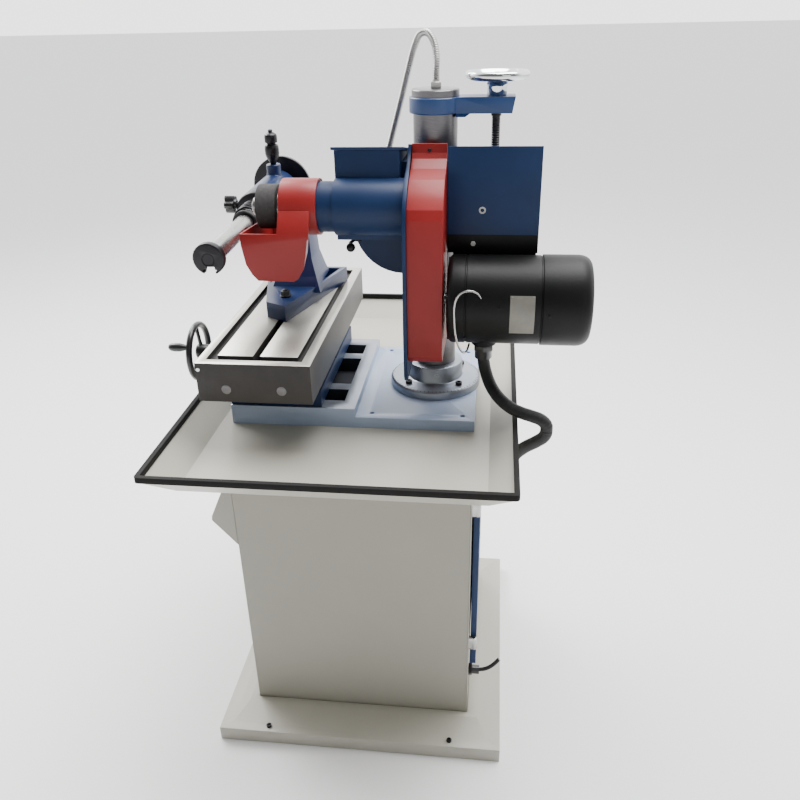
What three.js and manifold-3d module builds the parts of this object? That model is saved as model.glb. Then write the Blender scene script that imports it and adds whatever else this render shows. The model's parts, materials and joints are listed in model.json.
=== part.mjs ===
// Universal sharpening machine: a tool-and-cutter grinder on a sheet-metal cabinet.
// Frame, millimetres: +Z up from the floor, +Y from the operator's side to the back,
// +X along the table to its near end. The origin is the centre of the foot, on the floor.
import * as THREE from "three";
import { mergeVertices } from "three/addons/utils/BufferGeometryUtils.js";
import Module from "manifold-3d";

// ---------- driving dimensions, mm ----------
const GAP = 0.3; // running and seating clearance between separate pieces
const FACETING = 0.62; // share of the nominal facet count used round every turned piece
const FOOT_X = 315, FOOT_Y = 300, FOOT_H = 33.5, SHEET = 3;
const CAB_X = 231, CAB_Y0 = -233, CAB_Y1 = 229, CAB_TOP = 703.7, CAB_WALL = 2.5;
const DOOR_X0 = -215, DOOR_X1 = 221, DOOR_Z0 = 178, DOOR_Z1 = 562;
const DOOR_HINGE = [226.5, 240];
const TRAY_X = 446.5, TRAY_Y = 301, TRAY_FLOOR = 704, TRAY_LIP = 752;
const TRAY_FLOOR_X = 404, TRAY_FLOOR_Y = 258;
const RIM_X = 450, RIM_Y = 304.5, RIM_TOP = 756;
const BED_X = 170, BED_Y0 = -233, BED_Y1 = 228, WAY_TOP = 745, BED_REAR_TOP = 728;
const TABLE_X = 275, TABLE_Y0 = -249, TABLE_Y1 = -47, TABLE_Z0 = 806, TABLE_Z1 = 878.4;
const SLOT_Y = -149, SLOT_W = 12, SLOT_T = 24;
const CROSS = { x: 10, z: 784, r: 7 }; // cross-feed screw
const COL = { y: 143.5, r: 39, top: 1273.6 }; // column
const LIFT = { y: 249, r: 7.3 }; // elevating screw, at x = 0
const WHEEL_AXIS = { x: 105, z: 1106 }; // grinding spindle, along Y
const QUILL_R = 43, WHEEL_R = 38;
const MOTOR = { x: 130, z: 952, r: 77, y0: 175, y1: 335 };
const PULLEY_M = 35, PULLEY_S = 24; // pitch radii of the motor and spindle pulleys
const WORK = { y: -204, z: 1069, r: 38, lean: 2.1 }; // workhead spindle: along X at its pivot, leaning down towards +X by its degrees
const TILT_X = -100; // workhead tilt pivot, along Y
const GUARD_Y0 = 108.3, GUARD_Y1 = 168.7;

// ---------- colours ----------
const BLUE = 0x2d4268, LIGHT_BLUE = 0x9fb4d0, RED = 0xa03a3a, CREAM = 0xdcdcd2, BLACK = 0x232124,
  RUBBER = 0x282423, STEEL = 0x9a9a98, CHROME = 0xcfd2d4, GROUND = 0xd8d8d2, GREY = 0x6f6d6c;

const wasm = await Module();
wasm.setup();
const { Manifold, Mesh: ManifoldMesh } = wasm;

// A three.js geometry as a closed solid, for joining and cutting.
function solid(geometry) {
  const g = geometry.index ? geometry.toNonIndexed() : geometry;
  const bare = new THREE.BufferGeometry().setAttribute("position", g.getAttribute("position"));
  const merged = mergeVertices(bare, 1e-4);
  const idx = merged.index.array, pos = merged.attributes.position.array, tri = [];
  for (let i = 0; i < idx.length; i += 3) {
    const [a, b, c] = [idx[i], idx[i + 1], idx[i + 2]];
    if (a !== b && b !== c && c !== a) tri.push(a, b, c);
  }
  const build = (t) =>
    new Manifold(new ManifoldMesh({ numProp: 3, vertProperties: new Float32Array(pos), triVerts: new Uint32Array(t) }));
  const made = build(tri);
  if (made.volume() >= 0) return made;
  for (let i = 0; i < tri.length; i += 3) [tri[i + 1], tri[i + 2]] = [tri[i + 2], tri[i + 1]];
  return build(tri);
}
const join = (...parts) => parts.reduce((a, b) => a.add(b));
const cut = (base, ...tools) => tools.reduce((a, b) => a.subtract(b), base);

const box = (x0, x1, y0, y1, z0, z1) =>
  solid(new THREE.BoxGeometry(x1 - x0, y1 - y0, z1 - z0).translate((x0 + x1) / 2, (y0 + y1) / 2, (z0 + z1) / 2));

const facets = (n) => Math.max(8, Math.round((n * FACETING) / 4) * 4);
// Cylinder or cone along an axis: centre (u, v) in the plane across it, from a to b.
function cyl(axis, u, v, r, a, b, n = 32, r2 = r) {
  const g = new THREE.CylinderGeometry(r2, r, b - a, facets(n));
  g.translate(0, (a + b) / 2, 0);
  if (axis === "z") g.rotateX(Math.PI / 2).translate(u, v, 0);
  if (axis === "y") g.translate(u, 0, v);
  if (axis === "x") g.rotateZ(-Math.PI / 2).translate(0, u, v);
  return solid(g);
}
// Body of revolution: profile of [radius, position along the axis], closed by the list itself.
function turned(axis, u, v, profile, n = 32) {
  const pts = profile.map(([r, h]) => new THREE.Vector2(r, h));
  if (profile[0][0] > 0 || profile[profile.length - 1][0] > 0) pts.push(pts[0].clone());
  const g = new THREE.LatheGeometry(pts, facets(n));
  if (axis === "z") g.rotateX(Math.PI / 2).translate(u, v, 0);
  if (axis === "y") g.translate(u, 0, v);
  if (axis === "x") g.rotateZ(-Math.PI / 2).translate(0, u, v);
  return solid(g);
}
// Prism: the outline is (y, z) for axis x, (x, z) for axis y and (x, y) for axis z.
function prism(axis, outline, a, b, holes = []) {
  const shape = new THREE.Shape(outline.map(([u, v]) => new THREE.Vector2(u, v)));
  for (const h of holes) shape.holes.push(new THREE.Path(h.map(([u, v]) => new THREE.Vector2(u, v))));
  const g = new THREE.ExtrudeGeometry(shape, { depth: b - a, bevelEnabled: false });
  if (axis === "z") g.translate(0, 0, a);
  if (axis === "x") g.applyMatrix4(new THREE.Matrix4().set(0, 0, 1, a, 1, 0, 0, 0, 0, 1, 0, 0, 0, 0, 0, 1));
  if (axis === "y") g.applyMatrix4(new THREE.Matrix4().set(1, 0, 0, 0, 0, 0, -1, b, 0, 1, 0, 0, 0, 0, 0, 1));
  return solid(g);
}
// Six-sided block between two rectangles [x0, x1, y0, y1] at heights z0 and z1.
function taper(lo, z0, hi, z1) {
  const ring = ([x0, x1, y0, y1], z) => [[x0, y0, z], [x1, y0, z], [x1, y1, z], [x0, y1, z]];
  const p = [...ring(lo, z0), ...ring(hi, z1)];
  const quads = [[3, 2, 1, 0], [4, 5, 6, 7], [0, 1, 5, 4], [1, 2, 6, 5], [2, 3, 7, 6], [3, 0, 4, 7]];
  const out = [];
  for (const [a, b, c, d] of quads) for (const i of [a, b, c, a, c, d]) out.push(...p[i]);
  return solid(new THREE.BufferGeometry().setAttribute("position", new THREE.Float32BufferAttribute(out, 3)));
}
const sphere = (x, y, z, r, n = 20) => solid(new THREE.SphereGeometry(r, n, n / 2).translate(x, y, z));
// Round bar between two points.
function rod(p, q, r, n = 12) {
  const a = new THREE.Vector3(...p), b = new THREE.Vector3(...q), d = b.clone().sub(a);
  const g = new THREE.CylinderGeometry(r, r, d.length(), n);
  g.applyQuaternion(new THREE.Quaternion().setFromUnitVectors(new THREE.Vector3(0, 1, 0), d.clone().normalize()));
  g.translate((a.x + b.x) / 2, (a.y + b.y) / 2, (a.z + b.z) / 2);
  return solid(g);
}
// Closed tube along a smooth curve through points.
function hose(points, r, steps, sides = 12) {
  const curve = new THREE.CatmullRomCurve3(points.map((p) => new THREE.Vector3(...p)), false, "centripetal");
  const frames = curve.computeFrenetFrames(steps, false), rings = [], out = [];
  for (let i = 0; i <= steps; i++) {
    const c = curve.getPointAt(i / steps), ring = [];
    for (let k = 0; k < sides; k++) {
      const t = (2 * Math.PI * k) / sides;
      ring.push(c.clone().addScaledVector(frames.normals[i], r * Math.cos(t)).addScaledVector(frames.binormals[i], r * Math.sin(t)));
    }
    rings.push(ring);
  }
  const push = (...v) => v.forEach((p) => out.push(p.x, p.y, p.z));
  for (let i = 0; i < steps; i++)
    for (let k = 0; k < sides; k++) {
      const m = (k + 1) % sides;
      push(rings[i][k], rings[i][m], rings[i + 1][m], rings[i][k], rings[i + 1][m], rings[i + 1][k]);
    }
  for (let k = 1; k < sides - 1; k++) {
    push(rings[0][0], rings[0][k + 1], rings[0][k]);
    push(rings[steps][0], rings[steps][k], rings[steps][k + 1]);
  }
  return solid(new THREE.BufferGeometry().setAttribute("position", new THREE.Float32BufferAttribute(out, 3)));
}
const rect = (x, y) => [[-x, -y], [x, -y], [x, y], [-x, y]];
// Rectangle with rounded corners.
function roundRect(x, y, r, n = 5) {
  const out = [];
  for (const [sx, sy, a0] of [[1, -1, -90], [1, 1, 0], [-1, 1, 90], [-1, -1, 180]])
    for (let i = 0; i <= n; i++) {
      const a = ((a0 + (90 * i) / n) * Math.PI) / 180;
      out.push([sx * (x - r) + r * Math.cos(a), sy * (y - r) + r * Math.sin(a)]);
    }
  return out;
}
// Outline moved inwards by d; its points run counter-clockwise.
function inset(pts, d) {
  const n = pts.length, out = [];
  for (let i = 0; i < n; i++) {
    const p = pts[(i + n - 1) % n], q = pts[i], s = pts[(i + 1) % n];
    const e1 = [q[0] - p[0], q[1] - p[1]], e2 = [s[0] - q[0], s[1] - q[1]];
    const l1 = Math.hypot(...e1), l2 = Math.hypot(...e2);
    const n1 = [-e1[1] / l1, e1[0] / l1], n2 = [-e2[1] / l2, e2[0] / l2];
    const k = d / (1 + n1[0] * n2[0] + n1[1] * n2[1]);
    out.push([q[0] + (n1[0] + n2[0]) * k, q[1] + (n1[1] + n2[1]) * k]);
  }
  return out;
}
const hex = (cx, cy, r) => Array.from({ length: 6 }, (_, i) => [cx + r * Math.cos((i * Math.PI) / 3), cy + r * Math.sin((i * Math.PI) / 3)]);

const root = new THREE.Group();
root.name = "sharpening_machine";
function add(name, made, colour, { metalness = 0.1, roughness = 0.5, group = root } = {}) {
  const m = made.getMesh(), n = m.numProp, pos = new Float32Array(m.numVert * 3);
  for (let i = 0; i < m.numVert; i++) pos.set(m.vertProperties.subarray(i * n, i * n + 3), i * 3);
  const g = new THREE.BufferGeometry().setAttribute("position", new THREE.BufferAttribute(pos, 3));
  g.setIndex(new THREE.BufferAttribute(new Uint32Array(m.triVerts), 1));
  g.computeVertexNormals();
  const mesh = new THREE.Mesh(g, new THREE.MeshStandardMaterial({ color: colour, metalness, roughness }));
  mesh.name = name;
  group.add(mesh);
  return mesh;
}
const METAL = { metalness: 0.9, roughness: 0.3 };

// ---------- foot, skirt and cabinet ----------
const skirt = (dz) => taper([-290.5, 290.5, -274, 274], FOOT_H - 0.2 + dz, [-246, 246, -251.5, 251.5], 46 + dz);
add("base_pan", join(
  cut(skirt(0), cut(skirt(-3.1), box(-300, 300, -300, 300, 20, FOOT_H)),
    box(-CAB_X - 0.4, CAB_X + 0.4, CAB_Y0 - 0.6, CAB_Y1 + 0.6, FOOT_H, 50)),
  cut(box(-FOOT_X, FOOT_X, -FOOT_Y, FOOT_Y, 0, FOOT_H),
    box(-FOOT_X + SHEET, FOOT_X - SHEET, -FOOT_Y + SHEET, FOOT_Y - SHEET, -1, FOOT_H - SHEET)),
  box(-40, 40, -285, 285, 0, SHEET), box(-40, -40 + SHEET, -285, 285, 0, FOOT_H - 1), box(40 - SHEET, 40, -285, 285, 0, FOOT_H - 1)), CREAM);

add("cabinet_wrap", cut(box(-CAB_X, CAB_X, CAB_Y0, CAB_Y1 - 2.6, 33.8, CAB_TOP),
  box(-CAB_X + CAB_WALL, CAB_X - CAB_WALL, CAB_Y0 + CAB_WALL, CAB_Y1 + 5, 30, CAB_TOP - SHEET),
  box(-180, 180, CAB_Y0 - 5, CAB_Y0 + 5, 485, 600)), CREAM);

add("cabinet_rear_frame", cut(box(-CAB_X, CAB_X, CAB_Y1 - 2.3, CAB_Y1, 33.8, CAB_TOP),
  box(-205, 205, 200, 240, 190, 550), cyl("y", 205, 145, 8, 200, 240, 20), cyl("y", 200, 598, 14.2, 200, 240, 24)), CREAM);

// Wedge-shaped control box across the operator's side, open into the cabinet.
const consoleOut = [[-233.3, 463], [-233.3, 629], [-279, 529], [-280, 519]];
const consoleIn = [[-230, 464], [-230, 629.2], [-276.2, 528], [-277, 520]];
const FACE = new THREE.Vector3(0, -100, 45.7).normalize(); // outward normal of its slanted face
const faceY = -256.15, faceZ = 579;
function onFace(made, x, along = 0) {
  const q = new THREE.Quaternion().setFromUnitVectors(new THREE.Vector3(0, 0, 1), FACE);
  const m = new THREE.Matrix4().compose(
    new THREE.Vector3(x, faceY, faceZ).addScaledVector(FACE, along), q, new THREE.Vector3(1, 1, 1));
  return made.transform(m.toArray());
}
const stations = { start_button: 70, stop_button: 15, emergency_stop: -60 };
add("control_console", cut(prism("x", consoleOut, -CAB_X, CAB_X), prism("x", consoleIn, -CAB_X + 2.5, CAB_X - 2.5),
  ...Object.values(stations).map((x) => onFace(cyl("z", 0, 0, 8, -12, 12, 24), x))), CREAM);
for (const [name, x] of Object.entries(stations)) {
  const estop = name === "emergency_stop";
  const made = join(cyl("z", 0, 0, 7.4, -9, 6, 24),
    estop ? turned("z", 0, 0, [[0, 5], [19, 5], [20, 8], [20, 13], [16, 17], [0, 18.5]], 32)
      : turned("z", 0, 0, [[0, 5], [11, 5], [11, 9], [9.5, 10.5], [0, 11]], 28));
  add(name, onFace(made, x), { start_button: 0x2f7d44, stop_button: RED, emergency_stop: 0xb02024 }[name]);
}

// ---------- rear door ----------
for (const [name, z0, z1] of [["door_hinge_upper", 558, 587], ["door_hinge_lower", 226, 255]])
  add(name, join(box(222, 230.5, CAB_Y1 + GAP, 238, z0, z1), cyl("z", ...DOOR_HINGE, 5, z0, z1, 20)), GROUND, METAL);
add("rear_door", cut(box(DOOR_X0, DOOR_X1, 232, 244, DOOR_Z0, DOOR_Z1),
  box(DOOR_X0 + SHEET, DOOR_X1 - SHEET, 230, 241.5, DOOR_Z0 + SHEET, DOOR_Z1 - SHEET),
  cyl("y", -193, 370, 5.5, 230, 250, 20)), BLUE);
add("door_latch", join(cyl("y", -193, 370, 5, 235, 246, 20), cyl("y", -193, 370, 13, 244.3, 252, 28), box(-198, -173, 234, 237.5, 365, 375),
  box(-195.5, -190.5, 251, 259, 359, 381)), BLACK);

// ---------- glands, mains lead ----------
add("conduit_gland_cabinet", cut(join(cyl("y", 200, 598, 13.6, 222, 230, 24), prism("y", hex(200, 598, 19), CAB_Y1 + GAP, 237),
  cyl("y", 200, 598, 15.8, 236, 250, 28)), cyl("y", 200, 598, 12, 220, 252, 24)), BLACK);
add("mains_gland", cut(join(cyl("y", 205, 145, 7.5, 222, 230, 20), prism("y", hex(205, 145, 13), CAB_Y1 + GAP, 237),
  cyl("y", 205, 145, 9.5, 236, 252, 24)), cyl("y", 205, 145, 4.7, 220, 253, 16)), BLACK);
add("mains_cable", hose([[205, 232, 145], [205, 243, 145], [205, 254, 145.5], [204.2, 266, 148.5], [202.5, 277, 155], [200, 286, 163], [197.5, 293, 171]], 4.1, 22, 10), RUBBER);

// ---------- chip tray ----------
const trayOut = join(taper([-TRAY_FLOOR_X, TRAY_FLOOR_X, -TRAY_FLOOR_Y, TRAY_FLOOR_Y], TRAY_FLOOR, [-TRAY_X, TRAY_X, -TRAY_Y, TRAY_Y], 745),
  box(-TRAY_X, TRAY_X, -TRAY_Y, TRAY_Y, 744.9, TRAY_LIP));
const trayIn = join(taper([-402.6, 402.6, -256.6, 256.6], TRAY_FLOOR + 2, [-444.2, 444.2, -298.7, 298.7], 745.1),
  box(-444.2, 444.2, -298.7, 298.7, 745, 760));
add("chip_tray", cut(trayOut, trayIn), CREAM);
add("tray_trim", cut(prism("z", roundRect(RIM_X, RIM_Y, 7), 745.3, RIM_TOP, [roundRect(RIM_X - 8.5, RIM_Y - 8.5, 2).reverse()]),
  cut(prism("z", rect(446.9, 301.4), 740, 752.3), prism("z", rect(443.8, 298.3), 739, 753))), RUBBER);

// ---------- bed, column foot, cross feed ----------
const PY0 = -200, PY1 = -20;
add("bed_casting", cut(join(box(-BED_X, BED_X, BED_Y0, 5, 706.3, WAY_TOP), box(-BED_X, BED_X, 4, BED_Y1, 706.3, BED_REAR_TOP)),
  box(-136, -88, PY0, PY1, 715, 750), box(-62, 62, -212, PY1, 715, 750), box(88, 136, PY0, PY1, 715, 750),
  cyl("z", -150, 34, 5, 700, 740, 16), cyl("z", 150, 34, 5, 700, 740, 16),
  cyl("z", -150, 205, 5, 700, 740, 16), cyl("z", 150, 205, 5, 700, 740, 16)), LIGHT_BLUE);
add("column_flange", turned("z", 0, COL.y, [[COL.r + GAP, 728.3], [90, 728.3], [90, 742], [87, 745], [58, 745], [54, 749], [54, 776], [51, 779], [COL.r + GAP, 779]], 44), GREY, METAL);
add("cross_feed_nut", cut(join(box(-12, 32, -205, -175, 715.3, 797), box(-20, 40, -207, -173, 715.3, 724)),
  cyl("y", CROSS.x, CROSS.z, CROSS.r + GAP, -210, -170, 24)), STEEL, METAL);

// ---------- saddle with its screw ----------
add("saddle", cut(join(box(-166, 166, -233, -58, WAY_TOP + 0.4, 778), box(-200, 200, -205, -92, 777, TABLE_Z0 - 0.4), box(-45, 65, -233, -200, 777, 801)),
  box(-20, 40, -211, -80, 744, 807), cyl("y", CROSS.x, CROSS.z, CROSS.r + GAP, -240, -50, 24)), BLUE);
add("cross_feed_screw", join(cyl("y", CROSS.x, CROSS.z, CROSS.r, -345, -70, 24), cyl("y", CROSS.x, CROSS.z, 11, -246, -233.4, 28)), STEEL, METAL);
// Spoked handwheel and its turning handle: axis along Y.
const rimSegs = 40;
const wheelRim = turned("y", CROSS.x, CROSS.z, Array.from({ length: 8 }, (_, i) => [55.5 + 6.5 * Math.cos((i * Math.PI) / 4), -347 + 6.5 * Math.sin((i * Math.PI) / 4)]), rimSegs);
const spokes = [90, 210, 330].map((a) => {
  const c = Math.cos((a * Math.PI) / 180), s = Math.sin((a * Math.PI) / 180);
  return rod([CROSS.x + 10 * c, -341, CROSS.z + 10 * s], [CROSS.x + 54 * c, -346, CROSS.z + 54 * s], 4.5, 12);
});
add("cross_handwheel", cut(join(wheelRim, cyl("y", CROSS.x, CROSS.z, 15, -350, -325, 28), ...spokes,
  turned("y", CROSS.x + 48, CROSS.z + 28, [[0, -390], [5, -389], [7.5, -386], [9, -378], [8.5, -362], [6, -352], [5, -347], [0, -347]], 20)),
  cyl("y", CROSS.x, CROSS.z, CROSS.r + GAP, -346, -300, 24)), BLACK);

// ---------- work table ----------
const channel = cut(box(-257, 257, -234, -65, 870, 880), box(-240, 240, -218.6, -76, 869, 881));
add("table", cut(box(-TABLE_X, TABLE_X, TABLE_Y0, TABLE_Y1, TABLE_Z0, TABLE_Z1), channel,
  box(-248, 248, SLOT_Y - SLOT_W / 2, SLOT_Y + SLOT_W / 2, 857, 880), box(-248, 248, SLOT_Y - SLOT_T / 2, SLOT_Y + SLOT_T / 2, 849, 859.5),
  box(-262, 262, -237, -209, 800, 838), box(-262, 262, -182, -116, 800, 838), box(-262, 262, -89, -59, 800, 838)), GROUND, METAL);

// ---------- workhead base ----------
const TOP = 910.5;
const pedestal = join(taper([-152, -34, -194, -92], 900, [-146, -50, -184, -102], 928), taper([-146, -50, -184, -102], 927.9, [-140, -62, -172, -112], 962),
  taper([-140, -62, -172, -112], 961.9, [-134, -66, -160, -116], 1022), box(-134, -66, -160, -116, 1021, 1050));
add("workhead_base", cut(join(prism("z", [[52, -180], [77, -137], [-178, -63], [-178, -236]], TABLE_Z1 + GAP, TOP), pedestal,
  cyl("y", TILT_X, WORK.z, 36, -160, -112, 36)),
  prism("z", [[-40, -106], [-168, -76], [-168, -112], [-156, -116], [-156, -88], [-60, -88]].slice(0, 3), 890, TOP + 1),
  prism("z", [[-168, -190], [-168, -226], [-60, -202]], 890, TOP + 1),
  cyl("y", TILT_X, WORK.z, 12 + GAP, -165, -120, 28),
  cyl("z", 20, SLOT_Y, 6, 870, 930, 20), cyl("z", -166.5, SLOT_Y, 6, 870, 930, 20)), BLUE);
for (const [name, x] of [["workhead_bolt_near", 20], ["workhead_bolt_far", -166.5]])
  add(name, join(box(x - 11, x + 11, SLOT_Y - 10, SLOT_Y + 10, 850, 858.6), cyl("z", x, SLOT_Y, 5.6, 858, 925, 20),
    prism("z", hex(x, SLOT_Y, 9.6), TOP + 3, TOP + 12), cyl("z", x, SLOT_Y, 11, TOP + GAP, TOP + 3.1, 24)), STEEL, METAL);

// ---------- workhead housing, spindle, dial ----------
// Everything on the workhead is built level and then leant about its pivot.
const lean = (made) => made.translate([-TILT_X, 0, -WORK.z]).rotate([0, WORK.lean, 0]).translate([TILT_X, 0, WORK.z]);
const THUMB = 1081.6; // height of the thumb screw before the lean
add("workhead_housing", lean(cut(join(cyl("x", WORK.y, WORK.z, WORK.r, -205, -45, 40), cyl("y", TILT_X, WORK.z, 36, -200, -160.4, 36),
  cyl("y", TILT_X, WORK.z, 12, -161, -124, 28), turned("z", -174, WORK.y, [[0, 1080], [17, 1080], [17, 1104], [15, 1110], [15, 1124.3], [13.5, 1126.3], [0, 1126.3]], 28)),
  cyl("x", WORK.y, WORK.z, 20, -210, -40, 32), cyl("z", -174, WORK.y, 6.4, 1070, 1140, 20))), BLUE);
add("workhead_spindle", lean(turned("x", WORK.y, WORK.z, [[0, -252], [12, -252], [12, -222], [19.6, -222], [19.6, -46], [16.3, -46], [16.3, 243], [10, 243], [10, 256], [0, 256]], 32)), STEEL, METAL);
add("spindle_collar", lean(cut(turned("x", WORK.y, WORK.z, [[17, -44.6], [38, -44.6], [38, -20], [35, -16], [17, -16]], 40),
  cyl("y", -30, THUMB, 3.8, -245, -223, 16))), BLACK);
add("thumb_screw", lean(join(cyl("y", -30, THUMB, 3.4, -245, -226, 16), turned("y", -30, THUMB, [[0, -242.6], [8.5, -242.6], [9, -247], [0, -247]], 20),
  prism("y", Array.from({ length: 20 }, (_, i) => {
    const a = (i * Math.PI) / 10, r = [17.5, 16, 12.5, 16][i % 4];
    return [-30 + r * Math.cos(a), THUMB + r * Math.sin(a)];
  }), -264, -246.9))), BLACK);
const coil = Array.from({ length: 61 }, (_, i) => {
  const t = i / 60, a = t * 5 * 2 * Math.PI;
  return [-11.5 + 57 * t, WORK.y + 24 * Math.cos(a), WORK.z + 24 * Math.sin(a)];
});
add("spindle_spring", lean(hose(coil, 2.4, 60, 6)), BLACK, METAL);
add("spindle_flange", lean(turned("x", WORK.y, WORK.z, [[16.6, 49], [20, 49], [23, 51], [23, 56.5], [21.5, 58], [16.6, 58]], 36)), BLACK);
add("spindle_end_disc", lean(cut(turned("x", WORK.y, WORK.z, [[10.3, 243.3], [20, 243.3], [26.5, 249], [26.5, 260], [24.5, 262], [10.3, 262]], 36),
  prism("x", [[-213, 1057], [-195, 1057], [-193, 1035], [-215, 1035]], 240, 265), prism("x", [[-216, 1052], [-192, 1052], [-192, 1049], [-216, 1049]], 255, 265))), BLACK);
add("index_dial", lean(turned("x", WORK.y, WORK.z, [[12.3, -246], [25, -246], [25, -239], [53, -238], [60, -236], [62, -233], [62, -225], [12.3, -225]], 44)), BLACK);
add("index_plunger", lean(join(cyl("z", -174, WORK.y, 6, WORK.z + 21.5, 1132, 20),
  turned("z", -174, WORK.y, [[0, 1126.7], [6, 1126.7], [6.5, 1129.3], [11.5, 1137.3], [14.5, 1147.3], [14.5, 1157.3], [13, 1164.3], [9, 1166.3], [9, 1167.8], [12.5, 1169.3], [12.5, 1184.3], [8, 1187.8], [4.5, 1188.8], [4.5, 1193.3], [3, 1194.8], [0, 1194.8]], 24))), BLACK);

// ---------- column, arm, elevating gear, lamp ----------
add("column", turned("z", 0, COL.y, [[0, 728.6], [COL.r, 728.6], [COL.r, COL.top + GAP], [41.5, COL.top + GAP], [41.5, 1284.5], [40, 1286], [0, 1286]], 44), STEEL, METAL);
add("top_arm", cut(join(turned("z", 0, COL.y, [[COL.r - 2, 1247], [45, 1247], [46, 1248.5], [46, 1272], [44.5, 1273.6], [COL.r - 2, 1273.6]], 44),
  taper([-26, 26, 178, 276], 1247, [-26, 26, 178, 281], 1273.6), taper([-22, 22, 180, 196], 1241, [-24, 24, 180, 206], 1248)),
  cyl("z", 0, COL.y, COL.r + GAP, 1230, 1280, 44), cyl("z", 0, LIFT.y, LIFT.r + GAP, 1230, 1280, 24)), BLUE);
add("elevating_screw", join(cyl("z", 0, LIFT.y, LIFT.r, 1002, 1300.5, 24), cyl("z", 0, LIFT.y, 9, 1241, 1246.6, 24)), GREY, METAL);
add("elevating_handwheel", turned("z", 0, LIFT.y, [[LIFT.r + GAP, 1274], [17, 1274], [17, 1288.5], [20, 1293.5], [30, 1297.5], [42, 1299.5], [48, 1298.5], [53.5, 1302.5], [55, 1307.5], [52.5, 1312.5], [47, 1313.5], [43, 1308.5], [30, 1304.5], [17, 1303.5], [16, 1306.5], [LIFT.r + GAP, 1306.5]], 44), CHROME, METAL);

const neckBase = [-2, COL.y + 1, 1286.3];
const neckPath = [[neckBase[0], neckBase[1], 1291], [-2, 144.5, 1311], [-4, 145, 1334], [-10, 140, 1358], [-20, 129, 1372], [-33, 115, 1370], [-48, 103, 1350],
  [-63, 90, 1312], [-78, 76, 1266], [-93, 60, 1215], [-106, 46, 1170], [-114, 37, 1142]];
add("lamp_gooseneck", join(hose(neckPath, 6.2, 32, 8), cyl("z", neckBase[0], neckBase[1], 10, neckBase[2], 1297, 24)), STEEL, METAL);
{
  // Lamp head in its own group, its mouth facing down towards the wheel.
  const lamp = new THREE.Group();
  lamp.position.set(-115, 35.8, 1138.5);
  lamp.quaternion.setFromUnitVectors(new THREE.Vector3(0, 0, -1), new THREE.Vector3(0.18, -0.42, -0.89).normalize());
  root.add(lamp);
  add("lamp_head", turned("z", 0, 0, [[0, 0], [11, 0], [13, -6], [16, -26], [25, -50], [25, -57], [23.5, -58], [0, -58]], 32), BLACK, { group: lamp });
}

// ---------- wheelhead ----------
const A = WHEEL_AXIS;
const LID = (x) => 1200.3 - (104 - x) * 0.17; // underside of the sloping lid
add("head_casting", cut(join(box(-62, 58, 84, 272, 1056, 1173.8), prism("y", [[-45, 1142], [100, 1142], [100, LID(100) - GAP], [-45, LID(-45) - GAP]], -21, 90),
  box(40, 113, -20, 101, 1050, 1145), cyl("y", A.x, A.z, 48.5, -20, 101, 56), cyl("x", 90, 1064, 90, 22, 60, 56)),
  cyl("z", 0, COL.y, COL.r + GAP, 900, 1300, 44), cyl("z", 0, LIFT.y, LIFT.r + GAP, 1000, 1300, 24),
  cyl("y", A.x, A.z, QUILL_R + GAP, -100, 98.5, 48), cyl("y", A.x, A.z, 24, 90, 110, 32)), BLUE);
add("head_lid", prism("y", [[-49, LID(-49)], [104, LID(104)], [104, LID(104) + 4.9], [-49, LID(-49) + 4.9]], -26, 98), BLUE);
// Open-topped shroud behind the head: near, rear and far sheets, folded from one piece.
add("head_side_cover", join(box(98, 100, 172, 328, 1026, 1205), prism("y", [[-64.4, 1058], [100, 1058], [100, 1205], [-64.4, 1177]], 326, 328),
  prism("x", [[172, 1058], [328, 1058], [328, 1177], [172, 1177]], -64.4, -62.4)), BLUE);
add("quill_housing", cut(cyl("y", A.x, A.z, QUILL_R, -50, 98, 48), cyl("y", A.x, A.z, 25, -60, 110, 32),
  cyl("y", A.x, A.z, 31.3, -51, -24, 36), cyl("y", A.x, A.z, 31.3, 70, 99, 36)), BLUE);
add("front_bearing", turned("y", A.x, A.z, [[19.3, -46], [31, -46], [31, -24.3], [19.3, -24.3]], 36), STEEL, METAL);
add("rear_bearing", turned("y", A.x, A.z, [[19.3, 70.3], [31, 70.3], [31, 92], [19.3, 92]], 36), STEEL, METAL);
add("wheel_spindle", turned("y", A.x, A.z, [[0, -169], [9, -169], [9, -166], [15, -166], [15, -158], [12.7, -158], [12.7, -120], [27, -120], [27, -115], [17, -113], [17, -48], [19, -48],
  [19, 94], [16, 94], [16, 119], [PULLEY_S + 3, 119], [PULLEY_S + 3, 121.5], [PULLEY_S, 122], [PULLEY_S, 148], [PULLEY_S + 3, 148.5], [PULLEY_S + 3, 151], [14, 151], [14, 156], [0, 156]], 32), STEEL, METAL);
add("grinding_wheel", turned("y", A.x, A.z, [[13, -157.7], [30, -157.7], [32, -155.5], [WHEEL_R - 1, -155.5], [WHEEL_R, -154], [WHEEL_R, -122], [WHEEL_R - 1, -120.3], [13, -120.3]], 40), 0x3a3838);

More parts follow.
